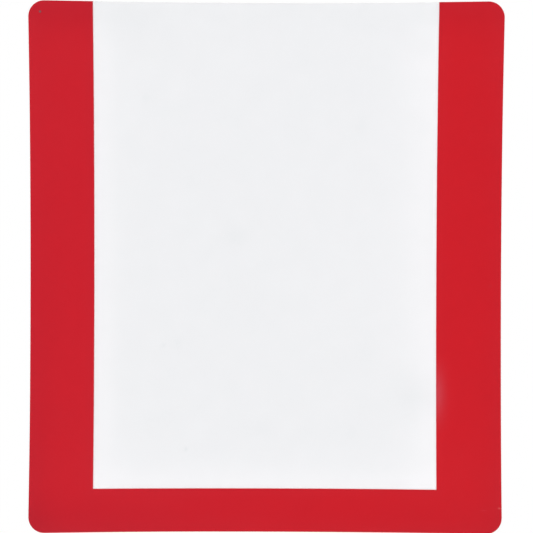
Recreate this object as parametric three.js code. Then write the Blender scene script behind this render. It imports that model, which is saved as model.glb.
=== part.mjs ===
// A self-adhesive pouch that marks a place on a floor and shows a paper sheet behind a clear window.
//
// The pouch lies on its back. X runs across it, Y runs along it to the open mouth of the pocket,
// and Z points up off the floor. The origin is the middle of the underside. All sizes are in
// millimetres.
//
// From the floor up the pouch is a release liner in two panels, a layer of adhesive, a white back
// sheet, a red border shaped like a U, and a clear front film. The border holds the film and the
// back sheet apart along both sides and the foot, and the space that it leaves between them is
// the pocket. Over the pocket the film stands a little higher, so that a sheet slides in at the
// mouth.
import * as THREE from "three";

// The paper sheet that the pocket takes, and the room left around it
const insertWidth = 210;
const insertLength = 297;
const insertSideClearance = 1.5;
const insertEndClearance = 4;

// The coloured border and the pouch's rounded corners
const sideBorder = 39.5;
const footBorder = 26.5;
const cornerRadius = 10;

// Thickness of each layer, from the floor up
const linerThickness = 0.15;
const adhesiveThickness = 0.1;
const backThickness = 0.4;
const borderThickness = 0.3;
const frontThickness = 0.35;

// The slit across the liner, where a fingernail starts the peel
const slitFromMouth = 109;
const slitWidth = 0.3;

// The front film over the pocket: how far it rises above the border, and over what distance
const windowRise = 0.9;
const riseLength = 16;

// Straight steps that stand in for each corner's arc, and for the film's rise
const cornerSteps = 8;
const riseSteps = 6;

// The pocket and the outline around it
const pocketWidth = insertWidth + 2 * insertSideClearance;
const pocketLength = insertLength + insertEndClearance;
const pouchWidth = pocketWidth + 2 * sideBorder;
const pouchLength = pocketLength + footBorder;
const mouthY = pouchLength / 2;
const footY = -pouchLength / 2;
const pocketFootY = footY + footBorder;
const slitY = mouthY - slitFromMouth;

// The underside of each layer
const adhesiveLevel = linerThickness;
const backLevel = adhesiveLevel + adhesiveThickness;
const borderLevel = backLevel + backThickness;
const frontLevel = borderLevel + borderThickness;

const quarterTurn = Math.PI / 2;

const linerPaper = new THREE.MeshStandardMaterial({ color: 0xe9e4d4, roughness: 0.55 });
const clearAdhesive = new THREE.MeshStandardMaterial({ color: 0xe6e3d2, roughness: 0.2 });
const whiteVinyl = new THREE.MeshStandardMaterial({ color: 0xf2f3f5, roughness: 0.6 });
const redVinyl = new THREE.MeshStandardMaterial({ color: 0xcb242e, roughness: 0.45 });
const clearVinyl = new THREE.MeshStandardMaterial({
  color: 0xf4f6f7,
  roughness: 0.3,
  transparent: true,
  opacity: 0.25,
});

// Takes a shape on to its next rounded corner, anticlockwise. The signs pick the corner.
function addCorner(shape, sideSign, endSign, startAngle) {
  const centreX = sideSign * (pouchWidth / 2 - cornerRadius);
  const centreY = endSign * (pouchLength / 2 - cornerRadius);
  shape.absarc(centreX, centreY, cornerRadius, startAngle, startAngle + quarterTurn);
}

// The whole outline, rounded at all four corners
function outlineShape() {
  const shape = new THREE.Shape();
  addCorner(shape, 1, -1, -quarterTurn);
  addCorner(shape, 1, 1, 0);
  addCorner(shape, -1, 1, quarterTurn);
  addCorner(shape, -1, -1, 2 * quarterTurn);
  return shape;
}

// The outline less the pocket, which leaves a U that is open at the mouth
function borderShape() {
  const shape = new THREE.Shape();
  addCorner(shape, 1, -1, -quarterTurn);
  addCorner(shape, 1, 1, 0);
  shape.lineTo(pocketWidth / 2, mouthY);
  shape.lineTo(pocketWidth / 2, pocketFootY);
  shape.lineTo(-pocketWidth / 2, pocketFootY);
  shape.lineTo(-pocketWidth / 2, mouthY);
  addCorner(shape, -1, 1, quarterTurn);
  addCorner(shape, -1, -1, 2 * quarterTurn);
  return shape;
}

// The liner's panel on the mouth side of the slit
function mouthPanelShape() {
  const edgeY = slitY + slitWidth / 2;
  const shape = new THREE.Shape();
  shape.moveTo(-pouchWidth / 2, edgeY);
  shape.lineTo(pouchWidth / 2, edgeY);
  addCorner(shape, 1, 1, 0);
  addCorner(shape, -1, 1, quarterTurn);
  return shape;
}

// The liner's panel on the foot side of the slit
function footPanelShape() {
  const edgeY = slitY - slitWidth / 2;
  const shape = new THREE.Shape();
  addCorner(shape, 1, -1, -quarterTurn);
  shape.lineTo(pouchWidth / 2, edgeY);
  shape.lineTo(-pouchWidth / 2, edgeY);
  addCorner(shape, -1, -1, 2 * quarterTurn);
  return shape;
}

// A flat layer: a shape given a thickness, with its underside at a level
function flatLayer(name, shape, level, thickness, material) {
  const geometry = new THREE.ExtrudeGeometry(shape, {
    depth: thickness,
    bevelEnabled: false,
    // three.js gives an arc two steps for each of these
    curveSegments: cornerSteps / 2,
  });
  const mesh = new THREE.Mesh(geometry, material);
  mesh.name = name;
  mesh.position.z = level;
  return mesh;
}

// Goes from 0 to 1 with a level start and end
function easeInOut(share) {
  return (1 - Math.cos(Math.PI * THREE.MathUtils.clamp(share, 0, 1))) / 2;
}

// How far the front film stands above the border's level at a point. It is held down along both
// sides and the foot of the pocket, and free at the mouth.
function riseAt(x, y) {
  const fromSide = pocketWidth / 2 - Math.abs(x);
  const fromFoot = y - pocketFootY;
  return windowRise * easeInOut(fromSide / riseLength) * easeInOut(fromFoot / riseLength);
}

// Half the outline's width at a height, which shrinks along the corner arcs
function halfWidthAt(y) {
  const intoCorner = Math.max(0, Math.abs(y) - (pouchLength / 2 - cornerRadius));
  const insetCentre = pouchWidth / 2 - cornerRadius;
  return insetCentre + Math.sqrt(Math.max(0, cornerRadius ** 2 - intoCorner ** 2));
}

// The heights of the front film's rows of points, from the foot to the mouth
function filmRows() {
  const rows = [];
  for (let step = 0; step <= cornerSteps; step += 1) {
    const fromEnd = cornerRadius * (1 - Math.cos((quarterTurn * step) / cornerSteps));
    rows.push(footY + fromEnd, mouthY - fromEnd);
  }
  for (let step = 0; step <= riseSteps; step += 1) {
    rows.push(pocketFootY + (riseLength * step) / riseSteps);
  }
  return rows.sort((a, b) => a - b);
}

// The points of the film's underside along one row, from side to side
function filmRow(y) {
  const rightHalf = [];
  for (let step = riseSteps; step >= 0; step -= 1) {
    rightHalf.push(pocketWidth / 2 - (riseLength * step) / riseSteps);
  }
  rightHalf.push(halfWidthAt(y));
  const leftHalf = rightHalf.map((x) => -x).reverse();
  return [...leftHalf, ...rightHalf].map((x) => new THREE.Vector3(x, y, riseAt(x, y)));
}

// The border of a grid of points, anticlockwise: along the first row, up the last column, back
// along the last row and down the first column
function gridRim(rowCount, columnCount) {
  const lastRow = rowCount - 1;
  const lastColumn = columnCount - 1;
  const rim = [];
  for (let column = 0; column < lastColumn; column += 1) {
    rim.push([0, column]);
  }
  for (let row = 0; row < lastRow; row += 1) {
    rim.push([row, lastColumn]);
  }
  for (let column = lastColumn; column > 0; column -= 1) {
    rim.push([lastRow, column]);
  }
  for (let row = lastRow; row > 0; row -= 1) {
    rim.push([row, 0]);
  }
  return rim;
}

// A closed film with its underside on a grid of points and its top one thickness higher
function filmGeometry(grid, thickness) {
  const rowCount = grid.length;
  const columnCount = grid[0].length;
  const topOffset = rowCount * columnCount;
  const pointAt = (row, column) => row * columnCount + column;

  const positions = [];
  for (const level of [0, thickness]) {
    for (const point of grid.flat()) {
      positions.push(point.x, point.y, point.z + level);
    }
  }

  const faces = [];
  for (let row = 0; row + 1 < rowCount; row += 1) {
    for (let column = 0; column + 1 < columnCount; column += 1) {
      const a = pointAt(row, column);
      const b = pointAt(row, column + 1);
      const c = pointAt(row + 1, column + 1);
      const d = pointAt(row + 1, column);
      faces.push(a, c, b, a, d, c);
      faces.push(topOffset + a, topOffset + b, topOffset + c);
      faces.push(topOffset + a, topOffset + c, topOffset + d);
    }
  }

  const rim = gridRim(rowCount, columnCount).map(([row, column]) => pointAt(row, column));
  rim.forEach((here, place) => {
    const next = rim[(place + 1) % rim.length];
    faces.push(here, next, topOffset + next);
    faces.push(here, topOffset + next, topOffset + here);
  });

  const geometry = new THREE.BufferGeometry();
  geometry.setAttribute("position", new THREE.Float32BufferAttribute(positions, 3));
  geometry.setIndex(faces);
  geometry.computeVertexNormals();
  return geometry;
}

function frontFilm() {
  const mesh = new THREE.Mesh(filmGeometry(filmRows().map(filmRow), frontThickness), clearVinyl);
  mesh.name = "front_film";
  mesh.position.z = frontLevel;
  return mesh;
}

const pouch = new THREE.Group();
pouch.name = "floor_marking_pouch";
pouch.add(
  flatLayer("release_liner_foot_panel", footPanelShape(), 0, linerThickness, linerPaper),
  flatLayer("release_liner_mouth_panel", mouthPanelShape(), 0, linerThickness, linerPaper),
  flatLayer("adhesive_layer", outlineShape(), adhesiveLevel, adhesiveThickness, clearAdhesive),
  flatLayer("back_sheet", outlineShape(), backLevel, backThickness, whiteVinyl),
  flatLayer("colour_border", borderShape(), borderLevel, borderThickness, redVinyl),
  frontFilm(),
);

export default pouch;
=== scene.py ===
import math

import bpy
import numpy as np
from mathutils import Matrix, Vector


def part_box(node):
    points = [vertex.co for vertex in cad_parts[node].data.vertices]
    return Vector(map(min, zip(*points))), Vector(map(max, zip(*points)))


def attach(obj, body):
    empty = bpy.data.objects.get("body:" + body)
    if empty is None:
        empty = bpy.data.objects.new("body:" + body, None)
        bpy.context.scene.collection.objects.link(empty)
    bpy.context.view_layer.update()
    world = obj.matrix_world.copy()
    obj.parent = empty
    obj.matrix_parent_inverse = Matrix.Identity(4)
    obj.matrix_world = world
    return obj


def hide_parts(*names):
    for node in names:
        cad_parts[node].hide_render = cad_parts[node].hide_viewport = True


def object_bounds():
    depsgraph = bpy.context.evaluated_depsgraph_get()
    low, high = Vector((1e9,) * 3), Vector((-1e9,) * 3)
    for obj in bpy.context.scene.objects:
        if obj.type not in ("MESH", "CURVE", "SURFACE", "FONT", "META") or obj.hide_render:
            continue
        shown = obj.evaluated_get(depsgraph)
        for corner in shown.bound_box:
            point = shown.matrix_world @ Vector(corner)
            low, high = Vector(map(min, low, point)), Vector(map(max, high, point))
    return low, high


# A floor marking pouch, flat on a white floor, seen from straight above. All of its films are
# cut to one outline, so they share one grid of points and lie on each other like pages.

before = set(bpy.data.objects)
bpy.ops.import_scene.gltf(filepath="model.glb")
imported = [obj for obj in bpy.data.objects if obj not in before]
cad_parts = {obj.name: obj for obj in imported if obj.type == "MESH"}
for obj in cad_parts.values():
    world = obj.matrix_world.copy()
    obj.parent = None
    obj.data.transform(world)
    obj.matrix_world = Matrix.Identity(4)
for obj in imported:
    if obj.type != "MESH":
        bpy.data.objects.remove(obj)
cadLow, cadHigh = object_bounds()
mm = 0.001
print("frame loaded:", ", ".join(sorted(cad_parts)))


def nodePoints(name):
    # every corner of a CAD node, one row of x, y, z each
    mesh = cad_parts[name].data
    points = np.empty(3 * len(mesh.vertices))
    mesh.vertices.foreach_get("co", points)
    return points.reshape(-1, 3)


# The outline and the pocket are read off the border, the levels off each layer.
sameLine = 0.01 * mm  # points that lie this close to a line are on it
borderPoints = nodePoints("colour_border")
halfWidth, halfLength = cadHigh.x, cadHigh.y
pocketHalf = np.abs(borderPoints[:, 0]).min()
besidePocket = np.abs(borderPoints[:, 0]) < pocketHalf + sameLine
pocketFoot = borderPoints[besidePocket, 1].min()
alongFoot = borderPoints[:, 1] < -halfLength + sameLine
cornerRadius = halfWidth - np.abs(borderPoints[alongFoot, 0]).max()
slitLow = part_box("release_liner_foot_panel")[1].y
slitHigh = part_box("release_liner_mouth_panel")[0].y
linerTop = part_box("adhesive_layer")[0].z
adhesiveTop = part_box("back_sheet")[0].z
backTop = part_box("colour_border")[0].z
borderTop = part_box("front_film")[0].z
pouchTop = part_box("front_film")[1].z

sheetGrid = dict(
    arcSteps=16,  # rows along each rounded corner
    coarse=2.5 * mm,  # spacing over the flat parts
    fine=1.0 * mm,  # spacing where the front film rises
    riseLength=16 * mm,  # how far in from the pocket's edge it rises
    edgeShares=(0.9, 0.95, 0.975, 0.99, 1.0),  # columns near the outline, as shares of the way
)


def stretches(stops, spacings):
    # equal steps from each stop to the next, none longer than that stretch's spacing
    parts = [
        np.linspace(a, b, math.ceil(abs(b - a) / step) + 1)[:-1]
        for a, b, step in zip(stops, stops[1:], spacings)
    ]
    return np.concatenate(parts + [[stops[-1]]])


def gridRows(g):
    # each row has a base height and an angle, which is zero except along the corner arcs
    rise, coarse, fine = g["riseLength"], g["coarse"], g["fine"]
    arc = np.linspace(0, math.pi / 2, g["arcSteps"] + 1)[1:]
    flatEnd = halfLength - cornerRadius
    stops = [-flatEnd, pocketFoot, pocketFoot + rise, slitLow, slitHigh, flatEnd]
    straight = stretches(stops, [coarse, fine, coarse, coarse, coarse])
    base = np.concatenate([np.full(len(arc), -flatEnd), straight, np.full(len(arc), flatEnd)])
    angle = np.concatenate([-arc[::-1], np.zeros(len(straight)), arc])
    return base, angle


def gridColumns(g):
    # x of the columns over the pocket's right half, then shares of the way from its edge to the
    # outline for the columns beyond it
    stops = [0, pocketHalf - g["riseLength"], pocketHalf]
    inner = stretches(stops, [g["coarse"], g["fine"]])
    lastEven = g["edgeShares"][0]
    steps = math.ceil((halfWidth - pocketHalf) * lastEven / g["coarse"])
    outer = np.concatenate([np.linspace(0, lastEven, steps + 1)[1:], g["edgeShares"][1:]])
    return inner, outer


rowBase, rowAngle = gridRows(sheetGrid)
innerColumns, outerShares = gridColumns(sheetGrid)


def gridPlan(inset=0.0):
    # x and y of the grid, rows by columns, for the outline drawn in by inset. Along an arc a
    # row's height is its base plus the radius times the sine of its angle, and its half width
    # is the arc centre's x plus the radius times the cosine.
    radius = cornerRadius - inset
    y = rowBase + radius * np.sin(rowAngle)
    reach = halfWidth - cornerRadius + radius * np.cos(rowAngle)
    outer = pocketHalf + (reach[:, None] - pocketHalf) * outerShares
    inner = np.broadcast_to(innerColumns, (len(y), len(innerColumns)))
    right = np.hstack([inner, outer])
    x = np.hstack([-right[:, :0:-1], right])
    return x, np.broadcast_to(y[:, None], x.shape)


def easeInOut(share):
    # from 0 to 1 with a level start and end: half of one minus the cosine of half a turn's share
    return (1 - np.cos(np.pi * np.clip(share, 0, 1))) / 2


def ripple(x, y, waves):
    # the sum of plane waves, each a height times the cosine of its way along one direction
    total = np.zeros_like(x)
    for height, length, degrees, shift in waves:
        turn = math.radians(degrees)
        along = x * math.cos(turn) + y * math.sin(turn)
        total = total + height * np.cos(2 * np.pi * (along / length + shift))
    return total


layOnFloor = dict(
    # height, length, direction in degrees, shift as a share of the length
    waves=((0.10 * mm, 0.31, 12, 0.10), (0.07 * mm, 0.23, 97, 0.35), (0.05 * mm, 0.17, 41, 0.7)),
    # the corner's side and end, and how high it lifts
    cornerLifts=((-1, -1, 1.1 * mm), (1, -1, 0.5 * mm), (1, 1, 0.7 * mm), (-1, 1, 0.8 * mm)),
    liftReach=46 * mm,
    drawIn=0.0165,  # how far the sides pull in between the corners, as a share of their distance
    windowOffset=-0.26 * mm,  # how far the window sits off the middle
)


def layAt(x, y):
    # how far the pouch stands off the floor: long low waves, and a bell-shaped lift at each corner
    lay = ripple(x, y, layOnFloor["waves"])
    lay = lay + sum(height for height, *_ in layOnFloor["waves"])
    for side, end, lift in layOnFloor["cornerLifts"]:
        away = np.hypot(x - side * halfWidth, y - end * halfLength)
        lay = lay + lift * np.exp(-((away / layOnFloor["liftReach"]) ** 2))
    return lay


floorTouch = layAt(*gridPlan()).min()


def lyingAt(level):
    # the height function of a sheet's face: how the pouch lies on the floor, plus the face's level
    return lambda x, y: layAt(x, y) - floorTouch + level


def outlineDistance(x, y):
    # how far in from the rounded outline a point lies
    beyondX = np.abs(x) - (halfWidth - cornerRadius)
    beyondY = np.abs(y) - (halfLength - cornerRadius)
    outside = np.hypot(np.maximum(beyondX, 0), np.maximum(beyondY, 0))
    return cornerRadius - outside - np.minimum(np.maximum(beyondX, beyondY), 0)


def pocketDistance(x, y):
    # how far inside the pocket a point lies, from its nearest closed edge, and negative outside
    fromSide = pocketHalf - np.abs(x)
    fromFoot = y - pocketFoot
    outside = np.hypot(np.minimum(fromSide, 0), np.minimum(fromFoot, 0))
    return np.where(outside > 0, -outside, np.minimum(fromSide, fromFoot))


def drawnIn(x, y):
    # Each point moves towards the middle by drawIn times one minus its squared distance from
    # there, with the corners at distance one, so that the corners stay and the sides bow in.
    # A parabola across the width, zero at both sides, then carries the window to its offset.
    squared = (x**2 + y**2) / (halfWidth**2 + halfLength**2)
    scale = 1 - layOnFloor["drawIn"] * (1 - squared)
    atWindow = 1 - (pocketHalf / halfWidth) ** 2
    offset = layOnFloor["windowOffset"] * (1 - (x / halfWidth) ** 2) / atWindow
    return x * scale + offset, y * scale


def sheetQuads(kept):
    # The faces of a closed sheet over the kept cells of the grid, by the numbers of their points:
    # the upper side, the lower side, then a wall along each cell side with no kept neighbour. The
    # upper side's points are numbered after the lower side's. The second result is how many faces
    # come before the walls.
    rows, columns = kept.shape[0] + 1, kept.shape[1] + 1
    top = rows * columns
    number = np.arange(top).reshape(rows, columns)
    a, b, c, d = number[:-1, :-1], number[:-1, 1:], number[1:, 1:], number[1:, :-1]
    framed = np.pad(kept, 1)
    south, north = ~framed[:-2, 1:-1] & kept, ~framed[2:, 1:-1] & kept
    west, east = ~framed[1:-1, :-2] & kept, ~framed[1:-1, 2:] & kept
    upper = np.stack([a[kept], b[kept], c[kept], d[kept]], 1) + top
    lower = np.stack([a[kept], d[kept], c[kept], b[kept]], 1)
    walls = []
    for start, end, bare in ((a, b, south), (b, c, east), (c, d, north), (d, a, west)):
        start, end = start[bare], end[bare]
        walls.append(np.stack([start, end, end + top, start + top], 1))
    return np.concatenate([upper, lower] + walls), len(upper) + len(lower)


def sheetPiece(name, underside, topside, keep=None, marks=(), pull=None):
    # A closed sheet between two height functions of x and y. keep picks the grid's cells that
    # it covers. marks are named functions of x and y that the piece's material reads at each
    # point, and pull is how far each point is drawn back from the mouth.
    x, y = gridPlan()
    kept = np.ones((x.shape[0] - 1, x.shape[1] - 1), bool) if keep is None else keep
    quads, smoothCount = sheetQuads(kept)
    used, quads = np.unique(quads, return_inverse=True)
    quads = quads.reshape(-1, 4)
    planX, planY = drawnIn(x.ravel(), y.ravel())
    if pull is not None:
        planY = planY - pull(x, y).ravel()
    heights = np.concatenate([underside(x, y).ravel(), topside(x, y).ravel()])
    points = np.stack([np.tile(planX, 2), np.tile(planY, 2), heights], 1)[used]
    mesh = bpy.data.meshes.new(name)
    mesh.from_pydata(points, [], quads.tolist())
    mesh.polygons.foreach_set("use_smooth", np.arange(len(quads)) < smoothCount)
    for label, markAt in marks:
        layer = mesh.attributes.new(label, "FLOAT", "POINT")
        layer.data.foreach_set("value", np.tile(markAt(x, y).ravel(), 2)[used].astype(np.float32))
    mesh.update()
    piece = bpy.data.objects.new(name, mesh)
    bpy.context.scene.collection.objects.link(piece)
    return piece


def softenEdges(piece, width):
    # rounds the cut edge, which is the only place where two faces meet at more than 45 degrees
    bevel = piece.modifiers.new("cut edge", "BEVEL")
    bevel.width = width
    bevel.segments = 2
    bevel.limit_method = "ANGLE"
    bevel.angle_limit = math.radians(45)


def dress(piece, material, slotName, *nodes):
    # gives a finished piece its material and its body, and hides the CAD nodes it stands for;
    # slotName is not used
    piece.data.materials.append(material)
    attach(piece, "root")
    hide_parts(*nodes)
    print(f"{piece.name}: {len(piece.data.polygons)} faces")


noiseRange = (0.3, 0.7)  # what a noise mostly stays within
spotCore = 0.4  # the share of a small spot's radius that keeps its full strength


class Shader:
    # a material's node tree, with short ways to add and join nodes
    def __init__(self, name):
        self.material = bpy.data.materials.new(name)
        self.material.use_nodes = True
        self.tree = self.material.node_tree
        self.tree.nodes.clear()
        self.output = self.tree.nodes.new("ShaderNodeOutputMaterial")
        self.place = self.tree.nodes.new("ShaderNodeTexCoord").outputs["Object"]

    def add(self, kind, inputs=None, **settings):
        node = self.tree.nodes.new("ShaderNode" + kind)
        for setting, value in settings.items():
            setattr(node, setting, value)
        for socket, value in (inputs or {}).items():
            if isinstance(value, bpy.types.NodeSocket):
                self.tree.links.new(value, node.inputs[socket])
            else:
                node.inputs[socket].default_value = value
        return node

    def noise(self, size, detail=3.0, roughness=0.55, stretch=None):
        # clouds about as wide as size, in metres, stretched by a factor along each axis
        place = self.place
        if stretch:
            scale = [1 / s for s in stretch]
            place = self.add("Mapping", {"Vector": place, "Scale": scale}).outputs[0]
        inputs = {"Vector": place, "Scale": 1 / size, "Detail": detail, "Roughness": roughness}
        return self.add("TexNoise", inputs).outputs["Fac"]

    def spread(self, value, low, high, toLow=0.0, toHigh=1.0):
        # carries low to high over to toLow to toHigh, with a level start and end, and holds both
        inputs = {
            "Value": value, "From Min": low, "From Max": high, "To Min": toLow, "To Max": toHigh,
        }
        return self.add("MapRange", inputs, interpolation_type="SMOOTHSTEP").outputs["Result"]

    def vary(self, noise, low, high):
        # a value that goes from low to high with a noise
        return self.spread(noise, *noiseRange, low, high)

    def math(self, operation, first, second=0.0, third=0.0):
        return self.add("Math", {0: first, 1: second, 2: third}, operation=operation).outputs[0]

    def mix(self, share, first, second):
        # a colour that lies a share of the way from the first to the second, which are the
        # node's sockets 6 and 7
        inputs = {0: share, 6: first, 7: second}
        return self.add("Mix", inputs, data_type="RGBA", clamp_factor=True).outputs[2]

    def attribute(self, name):
        return self.add("Attribute", attribute_name=name, attribute_type="GEOMETRY").outputs["Fac"]

    def spot(self, x, y, radiusX, radiusY):
        # one at a point of the plan, falling to zero at a radius along x and another along y
        inputs = {0: self.place, 1: (x, y, 0)}
        offset = self.add("VectorMath", inputs, operation="SUBTRACT").outputs[0]
        inputs = {0: offset, 1: (1 / radiusX, 1 / radiusY, 0)}
        flat = self.add("VectorMath", inputs, operation="MULTIPLY").outputs[0]
        away = self.add("VectorMath", {0: flat}, operation="LENGTH").outputs["Value"]
        return self.spread(away, spotCore, 1.0, 1.0, 0.0)

    def bump(self, height, distance, strength, over=None):
        # a normal bent by a relief of that height in metres, on top of another normal if given
        inputs = {"Height": height, "Distance": distance, "Strength": strength}
        if over is not None:
            inputs["Normal"] = over
        return self.add("Bump", inputs).outputs["Normal"]

    def finish(self, surface):
        self.tree.links.new(surface, self.output.inputs["Surface"])
        return self.material


def rgba(red, green, blue):
    return (red, green, blue, 1.0)


# Front film: clear vinyl, sealed to the border, and a little off the back sheet over the pocket
frontFilm = dict(
    thickness=0.35 * mm,
    clearOfBorder=0.02 * mm,  # keeps its underside and the border's top from sharing a plane
    edgeRound=0.09 * mm,
    # ripples, as height, length, direction in degrees, shift as a share of the length
    sag=((0.10 * mm, 0.085, 8, 0.2), (0.08 * mm, 0.062, 74, 0.6), (0.05 * mm, 0.041, 131, 0.1)),
    mouthWaves=((0.22 * mm, 0.16, 0, 0.45), (0.10 * mm, 0.071, 0, 0.1)),
    mouthReach=60 * mm,  # how far in the mouth's waves carry on
    mouthPull=0.55 * mm,  # how far the free edge draws back as it lifts
    # relief of the surface, as width, height and strength
    swell=(26 * mm, 0.15 * mm, 0.5),
    pebble=(3.15 * mm, 0.03 * mm, 0.4),
    grain=(0.45 * mm, 0.012 * mm, 0.6),
    swellStretch=(1, 1.6, 1),
    cloud=19 * mm,  # the width of the patches that differ in roughness
    roughness=(0.235, 0.255),
    headOn=0.04,  # the share that it mirrors seen straight on
    grazing=0.42,  # what is added to that at a grazing angle, held down by the grain
    grazingPower=5.0,
    tint=rgba(0.985, 0.988, 0.99),
    tintBelow=rgba(0.995, 0.996, 0.997),
)


def filmLift(x, y):
    # The free film stands the CAD film's rise above the border, times an ease in from both sides
    # and one from the foot. Its own ripples and the mouth's waves ride on that.
    f = frontFilm
    rise = pouchTop - borderTop - f["thickness"]
    free = easeInOut((pocketHalf - np.abs(x)) / sheetGrid["riseLength"])
    free = free * easeInOut((y - pocketFoot) / sheetGrid["riseLength"])
    nearMouth = np.exp(-(halfLength - y) / f["mouthReach"])
    lift = rise + ripple(x, y, f["sag"]) + nearMouth * ripple(x, y, f["mouthWaves"])
    return np.maximum(lift, 0) * free


def filmPull(x, y):
    # the mouth's pull, eased in from both sides and along the last stretch before the mouth
    rise = sheetGrid["riseLength"]
    free = easeInOut((pocketHalf - np.abs(x)) / rise)
    return frontFilm["mouthPull"] * free * easeInOut(1 - (halfLength - y) / rise)


def filmMaterial(f):
    # It mirrors a share of the light, headOn plus grazing times a power of how far it is turned
    # away, and lets the rest through.
    s = Shader("clear satin film")
    grainSize, grainHeight, grainStrength = f["grain"]
    pebbleSize, pebbleHeight, pebbleStrength = f["pebble"]
    swellSize, swellHeight, swellStrength = f["swell"]
    swell = s.noise(swellSize, detail=2, stretch=f["swellStretch"])
    normal = s.bump(swell, swellHeight, swellStrength)
    normal = s.bump(s.noise(pebbleSize, detail=2), pebbleHeight, pebbleStrength, normal)
    normal = s.bump(s.noise(grainSize, detail=4), grainHeight, grainStrength, normal)
    rough = s.vary(s.noise(f["cloud"], detail=4), *f["roughness"])
    shine = s.add("BsdfGlossy", {"Color": rgba(1, 1, 1), "Roughness": rough, "Normal": normal})
    clear = s.add("BsdfTransparent", {"Color": f["tint"]})
    facing = s.add("LayerWeight", {"Blend": 0.5, "Normal": normal}).outputs["Facing"]
    turned = s.math("POWER", facing, f["grazingPower"])
    share = s.math("MULTIPLY_ADD", turned, f["grazing"], f["headOn"])
    both = s.add("MixShader", {0: share, 1: clear.outputs[0], 2: shine.outputs[0]})
    return s.finish(both.outputs[0])


def filmUnderside(f):
    s = Shader("film underside")
    return s.finish(s.add("BsdfTransparent", {"Color": f["tintBelow"]}).outputs[0])


def makeFrontFilm():
    f = frontFilm
    heldDown = lyingAt(borderTop + f["clearOfBorder"])
    film = sheetPiece(
        "frontFilm",
        lambda x, y: heldDown(x, y) + filmLift(x, y),
        lambda x, y: heldDown(x, y) + filmLift(x, y) + f["thickness"],
        pull=filmPull,
    )
    softenEdges(film, f["edgeRound"])
    dress(film, filmMaterial(f), "clear_vinyl", "front_film")
    # the faces that look down get the second material
    film.data.materials.append(filmUnderside(f))
    normals = np.empty(3 * len(film.data.polygons))
    film.data.polygons.foreach_get("normal", normals)
    underneath = normals[2::3] < -0.5
    film.data.polygons.foreach_set("material_index", underneath.astype(np.int32))


# Colour border: red vinyl shaped like a U, left open where the pocket is
colourBorder = dict(
    # painted colour cast: the red is bluer on the left, as under bluish reflected light, and
    # warmer on the right
    redLeftCast=rgba(0.629, 0.0116, 0.0232),
    redRightCast=rgba(0.650, 0.0100, 0.0192),
    blendReach=120 * mm,  # how far from the middle the one has given way to the other
    shadeStep=(-0.066, -0.0030, -0.0022),  # what one unit of darkening, painted shade and clouds alike, adds to the colour
    edgeRound=0.06 * mm,
    # Paler red along the cut edge: its colour, its share, and how far in it starts and ends to
    # fade. The mottle moves that edge by up to edgeRagged.
    edgeRed=rgba(0.66, 0.035, 0.045),
    edgeShare=0.5,
    edgeFade=(0.1 * mm, 0.4 * mm),
    edgeRagged=0.35 * mm,
    # painted shade: how much darker the red is along the mouth and the foot, from left to right,
    # and how far in
    mouthShading=((1.05, 0.85, 0.68), 18 * mm),
    footShading=((1.0, 0.20, 0.72), 19 * mm),
    # painted shade along the other edges, from the foot to the mouth
    leftShading=((0.88, 0.36, 0.18), 13 * mm),
    rightShading=((0.50, 0.20, 0.22), 12 * mm),
    pocketShading=((0.10, 0.16, 0.22), 4 * mm),
    # painted highlight: a pale sheen where the film bends beside the pocket and catches the
    # light; its middle along the pocket, how far it reaches out from it and how far along it
    paintedSheen=(-78 * mm, 4.6 * mm, 15 * mm),
    sheenRed=rgba(0.640, 0.052, 0.072),
    # fainter painted sheen around the whole pocket and along the outline: share and reach
    pocketSheen=(0.05, 5 * mm),
    rimSheen=(0.05, 6 * mm),
    # clouds in the red: width, and how much darkening they add or take. The wide ones have their
    # own noise range.
    clouds=(38 * mm, 0.05, (0.35, 0.65)),
    mottle=(2.2 * mm, 0.03),
    grain=(0.5 * mm, 0.01 * mm, 0.5),  # relief: width, height and strength
    roughness=(0.5, 0.62),
    # small marks: x, y, the radius along each, colour
    marks=(
        (-138.6 * mm, 156.7 * mm, 1.0 * mm, 1.0 * mm, rgba(0.20, 0.08, 0.09)),
        (144.3 * mm, -147.7 * mm, 1.3 * mm, 0.7 * mm, rgba(0.68, 0.075, 0.075)),
        (134.6 * mm, -149.0 * mm, 2.8 * mm, 0.6 * mm, rgba(0.63, 0.021, 0.032)),
        (138.2 * mm, -10.6 * mm, 1.2 * mm, 1.2 * mm, rgba(0.59, 0.017, 0.026)),
        (125.4 * mm, 80.5 * mm, 1.1 * mm, 1.1 * mm, rgba(0.64, 0.016, 0.026)),
        (-123.1 * mm, -11.7 * mm, 1.1 * mm, 1.1 * mm, rgba(0.62, 0.017, 0.030)),
        (-137.9 * mm, -39.4 * mm, 1.9 * mm, 1.9 * mm, rgba(0.59, 0.0110, 0.0225)),
        (126.1 * mm, -45.4 * mm, 1.7 * mm, 1.7 * mm, rgba(0.675, 0.0105, 0.0200)),
    ),
)


def bell(distance, reach):
    # one at distance zero, falling as e to the minus square of distance over reach
    return np.exp(-((np.maximum(distance, 0) / reach) ** 2))


def redPaintedShade(x, y):
    # painted shade along the border's edges: the sum over the edges of a share that varies
    # along the edge, times a bell across it
    c = colourBorder
    across, along = (-halfWidth, 0, halfWidth), (-halfLength, 0, halfLength)
    total = np.zeros_like(x)
    for (shares, reach), distance, place, stops in (
        (c["mouthShading"], halfLength - y, x, across),
        (c["footShading"], y + halfLength, x, across),
        (c["leftShading"], x + halfWidth, y, along),
        (c["rightShading"], halfWidth - x, y, along),
        (c["pocketShading"], -pocketDistance(x, y), y, along),
    ):
        total = total + np.interp(place, stops, shares) * bell(distance, reach)
    return total


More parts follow.
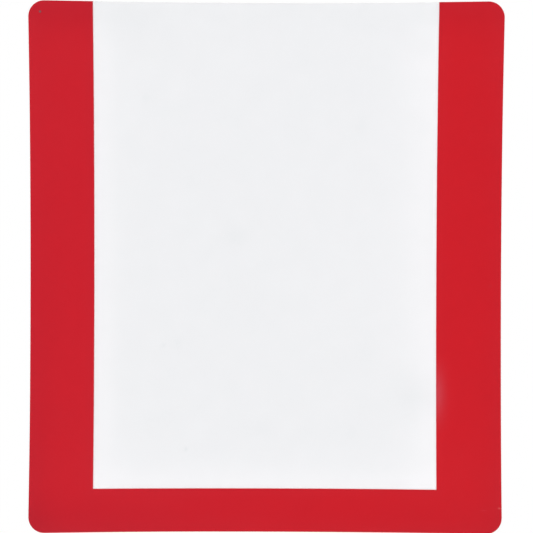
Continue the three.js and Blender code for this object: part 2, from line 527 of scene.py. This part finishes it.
def paintedSheenAt(x, y):
    # painted sheen: the largest of three, a bell outward from the pocket's right edge times one
    # along it, a faint bell around the whole pocket, and a faint one along the outline
    middle, reach, spread = colourBorder["paintedSheen"]
    beside = bell(x - pocketHalf, reach) * np.exp(-(((y - middle) / spread) ** 2)) * (x > 0)
    faint, faintReach = colourBorder["pocketSheen"]
    rim, rimReach = colourBorder["rimSheen"]
    paintedSheen = np.maximum(beside, faint * bell(-pocketDistance(x, y), faintReach))
    return np.maximum(paintedSheen, rim * bell(outlineDistance(x, y), rimReach))


def cellCentres():
    # x and y at the middle of each of the grid's cells
    x, y = gridPlan()
    middleX = (x[:-1, :-1] + x[1:, 1:]) / 2
    middleY = (y[:-1, :-1] + y[1:, 1:]) / 2
    return middleX, middleY


def redMaterial(c):
    s = Shader("red satin vinyl")
    cloudSize, cloudDepth, cloudRange = c["clouds"]
    mottleSize, mottleDepth = c["mottle"]
    grainSize, grainHeight, grainStrength = c["grain"]
    clouds = s.noise(cloudSize, detail=3)
    mottle = s.noise(mottleSize, detail=4)
    toRight = s.spread(s.attribute("across"), -c["blendReach"], c["blendReach"])
    # the painted colour cast from left to right
    tone = s.mix(toRight, c["redLeftCast"], c["redRightCast"])
    cloudy = s.spread(clouds, *cloudRange, -cloudDepth, cloudDepth)
    # the darkening is the painted shade along the edges, plus the clouds and the mottle
    darkening = s.math("ADD", s.attribute("darkening"), cloudy)
    darkening = s.math("ADD", darkening, s.vary(mottle, -mottleDepth, mottleDepth))
    tone = s.add("VectorMath", {0: c["shadeStep"], 1: darkening, 2: tone}, operation="MULTIPLY_ADD")
    # the painted sheen
    tone = s.mix(s.attribute("paintedSheen"), tone.outputs[0], c["sheenRed"])
    fromEdge = s.math("MULTIPLY_ADD", mottle, c["edgeRagged"], s.attribute("fromOutline"))
    tone = s.mix(s.spread(fromEdge, *c["edgeFade"], c["edgeShare"], 0.0), tone, c["edgeRed"])
    for markX, markY, radiusX, radiusY, colour in c["marks"]:
        tone = s.mix(s.spot(markX, markY, radiusX, radiusY), tone, colour)
    normal = s.bump(s.noise(grainSize, detail=3), grainHeight, grainStrength)
    rough = s.vary(clouds, *c["roughness"])
    # the film above it does the shining
    red = s.add("BsdfPrincipled", {
        "Base Color": tone, "Roughness": rough, "Normal": normal, "Specular IOR Level": 0.0,
    })
    return s.finish(red.outputs[0])


def makeColourBorder():
    x, y = cellCentres()
    border = sheetPiece(
        "colourBorder",
        lyingAt(backTop),
        lyingAt(borderTop),
        keep=pocketDistance(x, y) < 0,
        marks=(
            # painted shade along the edges
            ("darkening", redPaintedShade),
            # painted sheen
            ("paintedSheen", paintedSheenAt),
            ("across", lambda x, y: x),
            ("fromOutline", outlineDistance),
        ),
    )
    softenEdges(border, colourBorder["edgeRound"])
    dress(border, redMaterial(colourBorder), "red_vinyl", "colour_border")


# Back sheet: matt white vinyl, which shows through the window
backSheet = dict(
    white=rgba(0.919, 0.917, 0.929),
    palest=rgba(0.999, 0.985, 0.997),
    edgeRound=0.08 * mm,
    # painted highlight: how much paler the sheet is painted along each closed edge of the pocket,
    # where the film's rising slopes catch the lamps, and how far in. For the ridge beside the left
    # edge, its distance from that edge stands between the two.
    leftPaintedSheen=(0.12, 24 * mm),
    leftSheenRidge=(0.34, 6 * mm, 6.5 * mm),
    rightPaintedSheen=(0.68, 21.5 * mm),
    footPaintedSheen=(0.56, 14 * mm),
    mouthFade=(0.8, 22 * mm),  # how far the painted highlight of the sides fades at the mouth
    # painted shade: how much darker the sheet is along the mouth, and how far in
    mouthPaintedShade=(0.05, 14 * mm),
    # clouds in the white: width, and how much paleness they add or take
    blotches=(13 * mm, 0.09),
    streaks=(3 * mm, 0.035),
    streakStretch=(1, 2.5, 1),
    # relief: width, height and strength, and the last two for the blotches
    grain=(0.7 * mm, 0.012 * mm, 0.4),
    blotchRelief=(0.02 * mm, 0.2),
    roughness=(0.55, 0.66),
    gloss=0.2,
    # duller patches, blotches in the white except the first, which is painted shade beside the
    # painted sheen on the border, and a paler one whose darkening is below zero: x, y, radius
    # along each, darkening
    dullAndShadedPatches=(
        (92.5 * mm, -81 * mm, 12 * mm, 14 * mm, 0.58),
        (56 * mm, 14 * mm, 34 * mm, 62 * mm, -0.11),
        (99 * mm, 136 * mm, 3.5 * mm, 6 * mm, 0.32),
        (98 * mm, 87 * mm, 3.5 * mm, 7 * mm, 0.38),
        (-20 * mm, 20 * mm, 6 * mm, 4.5 * mm, 0.36),
        (66 * mm, -55 * mm, 9 * mm, 8 * mm, 0.10),
        (58 * mm, -104 * mm, 12 * mm, 7 * mm, 0.09),
        (-88 * mm, 154 * mm, 22 * mm, 16 * mm, 0.22),
    ),
    # specks under the film: x, y, radius, darkening
    specks=(
        (-48.9 * mm, -111.7 * mm, 1.7 * mm, 0.95),
        (-62.8 * mm, -47.8 * mm, 1.8 * mm, 0.65),
        (-74.1 * mm, 104.5 * mm, 2.4 * mm, 0.50),
        (59.1 * mm, 87.7 * mm, 2.7 * mm, 0.44),
        (-54.2 * mm, -46.0 * mm, 2.4 * mm, 0.44),
        (52.5 * mm, -101.8 * mm, 3.0 * mm, 0.36),
        (74.2 * mm, -122.7 * mm, 3.6 * mm, 0.32),
        (-62.1 * mm, -90.4 * mm, 4.0 * mm, 0.32),
        (41.9 * mm, 91.9 * mm, 2.4 * mm, 0.30),
        (-69.2 * mm, 130.2 * mm, 3.4 * mm, 0.28),
        (-1.7 * mm, -98.9 * mm, 4.0 * mm, 0.24),
    ),
)


def paleAt(x, y):
    # Painted highlight along the pocket's closed edges: the sides' bells and the ridge beside the
    # left one add up, and fade towards the mouth. The foot's bell joins them as the sum less half
    # the product, less what the patches take.
    b = backSheet
    left = b["leftPaintedSheen"][0] * bell(x + pocketHalf, b["leftPaintedSheen"][1])
    height, middle, reach = b["leftSheenRidge"]
    left = left + height * np.exp(-(((x + pocketHalf - middle) / reach) ** 2))
    right = b["rightPaintedSheen"][0] * bell(pocketHalf - x, b["rightPaintedSheen"][1])
    fade, fadeReach = b["mouthFade"]
    sides = (left + right) * (1 - fade * bell(halfLength - y, fadeReach))
    foot = b["footPaintedSheen"][0] * bell(y - pocketFoot, b["footPaintedSheen"][1])
    pale = sides + foot - sides * foot / 2
    # painted shade along the mouth
    pale = pale - b["mouthPaintedShade"][0] * bell(halfLength - y, b["mouthPaintedShade"][1])
    # the duller patches, the first of them painted shade
    for patchX, patchY, radiusX, radiusY, darkening in b["dullAndShadedPatches"]:
        away = ((x - patchX) / radiusX) ** 2 + ((y - patchY) / radiusY) ** 2
        pale = pale - darkening * np.exp(-away)
    return pale


def whiteMaterial(b):
    s = Shader("matt white vinyl")
    blotchSize, blotchDepth = b["blotches"]
    streakSize, streakDepth = b["streaks"]
    grainSize, grainHeight, grainStrength = b["grain"]
    blotches = s.noise(blotchSize, detail=5, roughness=0.6)
    streaks = s.noise(streakSize, detail=3, stretch=b["streakStretch"])
    # the painted highlight and shade from the mesh, then blotches and streaks
    pale = s.math("ADD", s.attribute("pale"), s.vary(blotches, -blotchDepth, blotchDepth))
    pale = s.math("ADD", pale, s.vary(streaks, -streakDepth, streakDepth))
    for speckX, speckY, radius, darkening in b["specks"]:
        pale = s.math("MULTIPLY_ADD", s.spot(speckX, speckY, radius, radius), -darkening, pale)
    # paleness runs from minus one to one, and the white lies in the middle of that
    darkest = tuple(2 * w - p for w, p in zip(b["white"], b["palest"]))
    tone = s.mix(s.math("MULTIPLY_ADD", pale, 0.5, 0.5), darkest, b["palest"])
    normal = s.bump(s.noise(grainSize, detail=3), grainHeight, grainStrength)
    normal = s.bump(blotches, *b["blotchRelief"], normal)
    rough = s.vary(blotches, *b["roughness"])
    white = s.add("BsdfPrincipled", {
        "Base Color": tone, "Roughness": rough, "Normal": normal,
        "Specular IOR Level": b["gloss"],
    })
    return s.finish(white.outputs[0])


def makeBackSheet():
    # pale carries the painted highlight along the pocket's edges and the painted shade at the
    # mouth
    marks = (("pale", paleAt),)
    back = sheetPiece("backSheet", lyingAt(adhesiveTop), lyingAt(backTop), marks=marks)
    softenEdges(back, backSheet["edgeRound"])
    dress(back, whiteMaterial(backSheet), "white_vinyl", "back_sheet")


# Adhesive layer: only its edge shows, as a hairline under the back sheet
adhesiveLayer = dict(
    dull=rgba(0.78, 0.76, 0.66),
    clear=rgba(0.86, 0.85, 0.78),
    flow=(3 * mm, 0.02 * mm, 0.5),  # width, height and strength of its relief
    roughness=(0.15, 0.3),
)


def adhesiveMaterial(g):
    s = Shader("clear adhesive")
    flowSize, flowHeight, flowStrength = g["flow"]
    flow = s.noise(flowSize, detail=4)
    glue = s.add("BsdfPrincipled", {
        "Base Color": s.mix(flow, g["dull"], g["clear"]),
        "Roughness": s.vary(flow, *g["roughness"]),
        "Normal": s.bump(flow, flowHeight, flowStrength),
    })
    return s.finish(glue.outputs[0])


def makeAdhesiveLayer():
    adhesive = sheetPiece("adhesiveLayer", lyingAt(linerTop), lyingAt(adhesiveTop))
    dress(adhesive, adhesiveMaterial(adhesiveLayer), "clear_adhesive", "adhesive_layer")


# Release liner: two panels of siliconised paper that meet at the slit
linerPaper = dict(
    cream=rgba(0.80, 0.76, 0.65),
    pale=rgba(0.86, 0.83, 0.74),
    fibres=(0.5 * mm, 0.015 * mm, 0.6),  # width, height and strength of their relief
    fibreStretch=(1, 5, 1),
    cloud=6 * mm,
    roughness=(0.32, 0.48),
)


def linerMaterial(p):
    # its tone follows the mean of the fibres and the clouds
    s = Shader("siliconised liner paper")
    fibreSize, fibreHeight, fibreStrength = p["fibres"]
    fibres = s.noise(fibreSize, detail=5, stretch=p["fibreStretch"])
    clouds = s.noise(p["cloud"], detail=4)
    share = s.math("MULTIPLY_ADD", fibres, 0.5, s.math("MULTIPLY", clouds, 0.5))
    paper = s.add("BsdfPrincipled", {
        "Base Color": s.mix(share, p["cream"], p["pale"]),
        "Roughness": s.vary(clouds, *p["roughness"]),
        "Normal": s.bump(fibres, fibreHeight, fibreStrength),
    })
    return s.finish(paper.outputs[0])


def makeLiner():
    paper = linerMaterial(linerPaper)
    x, y = cellCentres()
    for name, keep, node in (
        ("linerFootPanel", y < slitLow, "release_liner_foot_panel"),
        ("linerMouthPanel", y > slitHigh, "release_liner_mouth_panel"),
    ):
        panel = sheetPiece(name, lyingAt(0), lyingAt(linerTop), keep=keep)
        dress(panel, paper, "liner_paper", node)


makeLiner()
makeAdhesiveLayer()
makeBackSheet()
makeColourBorder()
makeFrontFilm()


# Floor: a white sweep that stays white to the camera but takes the pouch's soft shadow
studioFloor = dict(
    halfSize=60.0,
    below=0.1 * mm,  # clear of the liner
    grey=0.96,
    ownLight=0.94,  # the share of what the camera sees of it that is its own even white
)


def makeFloor(f):
    h, z = f["halfSize"], -f["below"]
    mesh = bpy.data.meshes.new("floor")
    mesh.from_pydata([(-h, -h, z), (h, -h, z), (h, h, z), (-h, h, z)], [], [(0, 1, 2, 3)])
    floor = bpy.data.objects.new("floor", mesh)
    bpy.context.scene.collection.objects.link(floor)
    s = Shader("white floor")
    matt = s.add("BsdfDiffuse", {"Color": rgba(f["grey"], f["grey"], f["grey"])})
    white = s.add("Emission", {"Color": rgba(1, 1, 1), "Strength": 1.0})
    rays = s.add("LightPath").outputs
    mirrored = s.math("MAXIMUM", rays["Is Glossy Ray"], rays["Is Transmission Ray"])
    seen = s.math("MAXIMUM", rays["Is Camera Ray"], mirrored)
    share = s.math("MULTIPLY", seen, f["ownLight"])
    both = s.add("MixShader", {0: share, 1: matt.outputs[0], 2: white.outputs[0]})
    mesh.materials.append(s.finish(both.outputs[0]))
    print("floor made")


# Lamps: a ring of broad softboxes, well off the mirror direction of the flat film
softboxes = dict(
    count=8,
    firstDegrees=22.5,
    tiltDegrees=52,  # off the zenith
    distance=1.5,
    width=1.1,
    height=1.0,
    watts=4.89,
    worldStrength=0.1,  # faint light from all around
)


def makeLamps(b):
    lean = math.radians(b["tiltDegrees"])
    for place in range(b["count"]):
        lamp = bpy.data.lights.new(f"softbox{place + 1}", "AREA")
        lamp.shape = "RECTANGLE"
        lamp.size = b["height"]
        lamp.size_y = b["width"]
        lamp.energy = b["watts"]
        turn = math.radians(b["firstDegrees"]) + 2 * math.pi * place / b["count"]
        box = bpy.data.objects.new(lamp.name, lamp)
        level = b["distance"] * math.cos(lean)
        reach = b["distance"] * math.sin(lean)
        box.location = (reach * math.cos(turn), reach * math.sin(turn), level)
        box.rotation_euler = (0, lean, turn)
        bpy.context.scene.collection.objects.link(box)
    world = bpy.data.worlds.new("studio")
    world.use_nodes = True
    sky = world.node_tree.nodes["Background"].inputs
    sky["Color"].default_value = rgba(1, 1, 1)
    sky["Strength"].default_value = b["worldStrength"]
    bpy.context.scene.world = world
    print("lamps made:", b["count"])


# Camera: straight above, a hair off square as in the photograph
overhead = dict(
    place=(1.2 * mm, 11.1 * mm, 0.7),
    leanDegrees=(-0.829, 0.064, 0.162),
    lens=76.8,
    sensorWidth=36,
    nearAndFar=(0.01, 50),
)


def makeCamera(o):
    camera = bpy.data.cameras.new("overhead")
    camera.lens = o["lens"]
    camera.sensor_width = o["sensorWidth"]
    camera.clip_start, camera.clip_end = o["nearAndFar"]
    view = bpy.data.objects.new("overhead", camera)
    view.location = o["place"]
    view.rotation_euler = [math.radians(d) for d in o["leanDegrees"]]
    bpy.context.scene.collection.objects.link(view)
    bpy.context.scene.camera = view
    print("camera made")


makeFloor(studioFloor)
makeLamps(softboxes)
makeCamera(overhead)
bpy.context.scene.view_settings.view_transform = "Standard"

bpy.context.view_layer.update()
